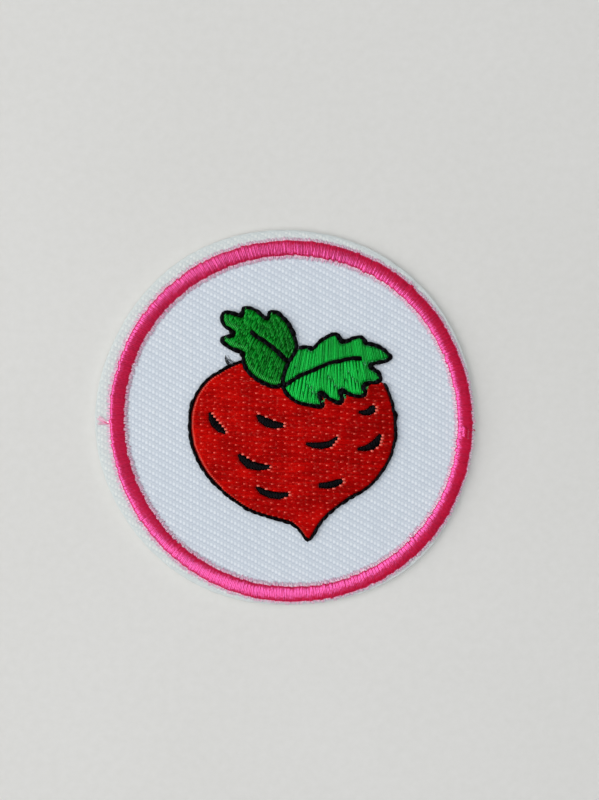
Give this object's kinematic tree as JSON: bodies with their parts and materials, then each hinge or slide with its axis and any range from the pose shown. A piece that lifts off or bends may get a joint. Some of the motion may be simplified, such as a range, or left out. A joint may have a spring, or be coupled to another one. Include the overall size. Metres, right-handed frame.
{
  "type": "iron-on patch",
  "caption": "Round embroidered iron-on patch: a twill disc with adhesive film behind, a satin-stitched ring near its rim and a stitched strawberry with two leaves.",
  "frame": {"origin": "bottom centre of the patch's box, on the underside of the adhesive film", "axes": "+Z out of the face of the patch, +Y towards the top of the picture, +X to its right"},
  "size_m": [0.05, 0.0494, 0.0018],
  "materials": {
    "adhesive_film": "satin",
    "twill": "matte",
    "ring_thread": "satin",
    "fruit_thread": "satin",
    "dark_thread": "satin",
    "left_leaf_thread": "satin",
    "right_leaf_thread": "satin"
  },
  "bodies": {
    "root": {"adhesive_back": "adhesive_film", "twill_disc": "twill", "satin_ring": "ring_thread", "berry_fill": "fruit_thread", "berry_outline": "dark_thread", "leaf_left": "left_leaf_thread", "leaf_right": "right_leaf_thread", "leaf_left_outline": "dark_thread", "leaf_right_outline": "dark_thread", "leaf_left_vein": "dark_thread", "leaf_right_vein": "dark_thread", "seed_1": "dark_thread", "seed_2": "dark_thread", "seed_3": "dark_thread", "seed_4": "dark_thread", "seed_5": "dark_thread", "seed_6": "dark_thread", "seed_7": "dark_thread", "seed_8": "dark_thread"}
  },
  "joints": []
}
